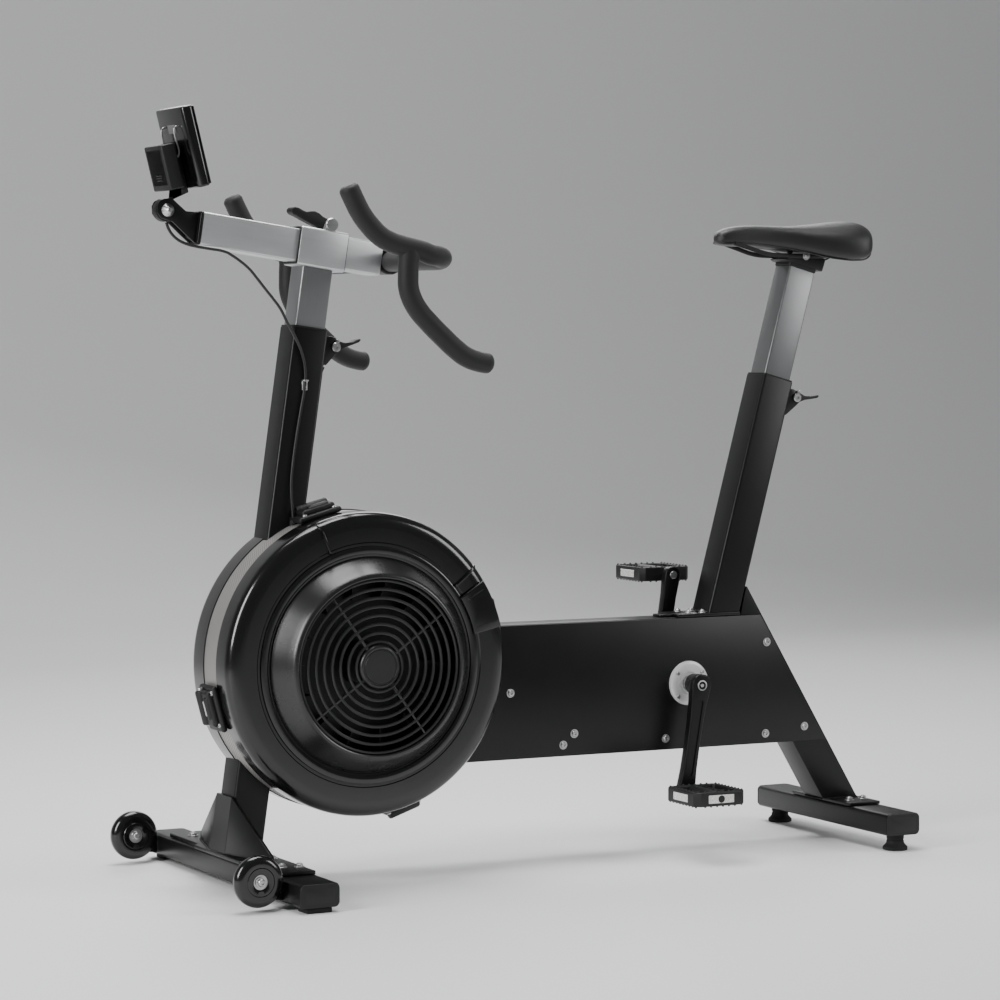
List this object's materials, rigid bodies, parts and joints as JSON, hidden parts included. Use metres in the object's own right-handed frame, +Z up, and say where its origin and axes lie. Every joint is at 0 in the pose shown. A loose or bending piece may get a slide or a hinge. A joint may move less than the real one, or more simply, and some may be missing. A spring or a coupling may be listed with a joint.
{
  "type": "exercise bike",
  "caption": "Upright stationary exercise bike with an air-braked fan wheel, dropped handlebar, monitor, sliding seat post and two foot bars.",
  "frame": {"origin": "centre of the overall box, on the floor", "axes": "+X forward to the fan and monitor end, +Y to the rider's left, +Z up"},
  "size_m": [1.2458, 0.603, 1.1738],
  "materials": {
    "frame_paint": "satin black powder coat",
    "gloss_black": "gloss moulded plastic",
    "matte_black": "fine textured plastic",
    "black_rubber": "matt rubber",
    "silver_alloy": "satin anodised extrusion",
    "bright_steel": "turned steel",
    "grey_band": "perforated grey sheet",
    "pale_disc": "pale silver cover",
    "grip_foam": "closed cell foam",
    "saddle_skin": "semi-gloss synthetic leather"
  },
  "bodies": {
    "frame": {"front_foot_bar": "frame_paint", "front_base_plate": "frame_paint", "front_upright": "frame_paint", "upright_clamp": "frame_paint", "seat_tube": "frame_paint", "seat_base_plate": "frame_paint", "rear_leg": "frame_paint", "beam_top_rail": "frame_paint", "beam_bottom_rail": "frame_paint", "rear_foot_bar": "frame_paint", "rear_base_plate": "frame_paint", "seat_tube_clamp": "frame_paint", "housing_near_shell": "gloss_black", "fan_bezel": "gloss_black", "housing_band": "grey_band", "housing_far_shell": "gloss_black", "fan_grille": "matte_black", "belt_first": "black_rubber", "belt_second": "black_rubber", "cable_lower": "black_rubber", "front_cap_left": "matte_black", "front_pad_left": "black_rubber", "wheel_bracket_left": "frame_paint", "side_cover_left": "frame_paint", "rear_cap_left": "matte_black", "rear_foot_left": "black_rubber", "crank_disc_left": "pale_disc", "front_cap_right": "matte_black", "front_pad_right": "black_rubber", "wheel_bracket_right": "frame_paint", "side_cover_right": "frame_paint", "rear_cap_right": "matte_black", "rear_foot_right": "black_rubber", "crank_disc_right": "pale_disc"},
    "wheel_left": {"transport_wheel_left": "gloss_black"},
    "wheel_right": {"transport_wheel_right": "gloss_black"},
    "upright_lever": {"upright_lever": "matte_black"},
    "seat_lever": {"seat_lever": "matte_black"},
    "seat": {"seat_post": "silver_alloy", "seat_clamp": "matte_black", "saddle": "saddle_skin"},
    "bar_post": {"handlebar_post": "silver_alloy", "slider_sleeve": "silver_alloy"},
    "sleeve_lever": {"sleeve_lever": "matte_black"},
    "slider": {"slider": "silver_alloy", "stem": "frame_paint", "handlebar": "grip_foam", "monitor_arm": "frame_paint", "cable_upper": "black_rubber"},
    "monitor": {"monitor_back": "matte_black", "monitor": "gloss_black"},
    "damper": {"damper_ring": "gloss_black"},
    "fan": {"fan_wheel": "matte_black", "fan_axle": "bright_steel"},
    "jackshaft": {"jackshaft": "bright_steel"},
    "crank": {"crank_spindle": "bright_steel", "crank_left": "frame_paint", "crank_right": "frame_paint"},
    "pedal_left": {"pedal_left": "matte_black"},
    "pedal_right": {"pedal_right": "matte_black"}
  },
  "joints": [
    {"name": "fan_spin", "type": "hinge", "parent": "frame", "child": "fan", "pos_m": [0.31915, 0.06, 0.3355], "axis": [0, 1, 0], "continuous": true},
    {"name": "crank_spin", "type": "hinge", "parent": "frame", "child": "crank", "pos_m": [-0.28285, 0, 0.272], "axis": [0, 1, 0], "continuous": true},
    {"name": "jackshaft_spin", "type": "hinge", "parent": "frame", "child": "jackshaft", "pos_m": [0.01115, 0, 0.272], "axis": [0, 1, 0], "continuous": true},
    {"name": "pedal_left_spin", "type": "hinge", "parent": "crank", "child": "pedal_left", "pos_m": [-0.25626, 0.134, 0.10409], "axis": [0, 1, 0], "continuous": true},
    {"name": "pedal_right_spin", "type": "hinge", "parent": "crank", "child": "pedal_right", "pos_m": [-0.30944, -0.134, 0.43991], "axis": [0, 1, 0], "continuous": true},
    {"name": "wheel_left_spin", "type": "hinge", "parent": "frame", "child": "wheel_left", "pos_m": [0.56215, 0.251, 0.045], "axis": [0, 1, 0], "continuous": true},
    {"name": "wheel_right_spin", "type": "hinge", "parent": "frame", "child": "wheel_right", "pos_m": [0.56215, -0.251, 0.045], "axis": [0, 1, 0], "continuous": true},
    {"name": "seat_height", "type": "slide", "parent": "frame", "child": "seat", "axis": [-0.2588, 0, 0.9659], "range_m": [-0.15, 0.08]},
    {"name": "bar_height", "type": "slide", "parent": "frame", "child": "bar_post", "axis": [-0.1409, 0, 0.99], "range_m": [-0.07, 0.06]},
    {"name": "bar_reach", "type": "slide", "parent": "bar_post", "child": "slider", "axis": [0.9893, 0, 0.1461], "range_m": [-0.11, 0.045]},
    {"name": "monitor_tilt", "type": "hinge", "parent": "slider", "child": "monitor", "pos_m": [0.60315, 0, 1.018], "axis": [0, 1, 0], "range_deg": [-25, 25]},
    {"name": "damper_turn", "type": "hinge", "parent": "frame", "child": "damper", "pos_m": [0.31915, 0.117, 0.3355], "axis": [0, -1, 0], "range_deg": [0, 50]},
    {"name": "upright_lever_open", "type": "hinge", "parent": "frame", "child": "upright_lever", "pos_m": [0.33115, 0, 0.81418], "axis": [0, 1, 0], "range_deg": [0, 45]},
    {"name": "seat_lever_open", "type": "hinge", "parent": "frame", "child": "seat_lever", "pos_m": [-0.49699, 0, 0.73037], "axis": [0, 1, 0], "range_deg": [0, 45]},
    {"name": "sleeve_lever_open", "type": "hinge", "parent": "bar_post", "child": "sleeve_lever", "pos_m": [0.34076, 0, 1.00012], "axis": [0, -1, 0], "range_deg": [0, 60]}
  ],
  "couplings": [
    {"joint": "jackshaft_spin", "follows": "fan_spin", "ratio": 0.18571},
    {"joint": "crank_spin", "follows": "fan_spin", "ratio": 0.045174}
  ]
}
